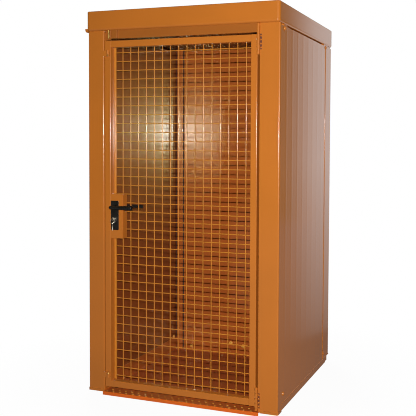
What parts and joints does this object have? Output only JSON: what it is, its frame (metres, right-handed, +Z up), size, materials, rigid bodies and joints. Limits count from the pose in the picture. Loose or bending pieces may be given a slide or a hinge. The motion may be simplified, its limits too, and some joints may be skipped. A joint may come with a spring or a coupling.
{
  "type": "gas cylinder container",
  "caption": "Upright flat-roofed steel store with thick panel walls, a hinged mesh door, lever handle and drip gutter, for standing gas cylinders.",
  "frame": {"origin": "middle of the whole footprint's box, at the ground", "axes": "+Z up, -Y out of the door's side, +X to the right seen from the front, where the hinges are"},
  "size_m": [1.177, 1.0994, 2.178],
  "materials": {
    "orange_coat": "gloss powder coat",
    "black_fitting": "smooth black",
    "bare_steel": "satin nickel"
  },
  "bodies": {
    "container": {"base_bar_front": "orange_coat", "base_bar_left": "orange_coat", "base_bar_rear": "orange_coat", "base_bar_right": "orange_coat", "base_rail_left": "orange_coat", "base_rail_right": "orange_coat", "drip_gutter": "orange_coat", "floor_plate": "orange_coat", "hinge_jamb": "orange_coat", "hinge_lower_jamb_half": "orange_coat", "hinge_lower_pin": "orange_coat", "hinge_upper_jamb_half": "orange_coat", "hinge_upper_pin": "orange_coat", "lintel": "orange_coat", "pocket_bracket": "orange_coat", "roof": "orange_coat", "threshold": "orange_coat", "wall_left": "orange_coat", "wall_rear": "orange_coat", "wall_right": "orange_coat", "wall_shoe_left": "orange_coat", "wall_shoe_right": "orange_coat"},
    "door": {"door_stile_lock": "orange_coat", "door_stile_hinge": "orange_coat", "door_rail_bottom": "orange_coat", "door_rail_top": "orange_coat", "mesh_lower": "orange_coat", "mesh_upper": "orange_coat", "lock_case": "orange_coat", "handle_plate_outer": "black_fitting", "handle_plate_inner": "black_fitting", "lock_cylinder": "bare_steel", "key": "bare_steel", "stop_lug_upper": "orange_coat", "stop_lug_lower": "orange_coat", "hinge_upper_door_half": "orange_coat", "hinge_lower_door_half": "orange_coat"},
    "lever": {"lever_outer": "black_fitting", "lever_inner": "black_fitting", "spindle": "bare_steel"}
  },
  "joints": [
    {"name": "door_swing", "type": "hinge", "parent": "container", "child": "door", "pos_m": [0.466, -0.4943, 1], "axis": [0, 0, 1], "range_deg": [0, 160]},
    {"name": "lever_turn", "type": "hinge", "parent": "door", "child": "lever", "pos_m": [-0.3925, -0.4903, 1.078], "axis": [0, 1, 0], "range_deg": [0, 45], "stiffness_Nm_per_rad": 2.5, "springref_deg": -22.92}
  ]
}
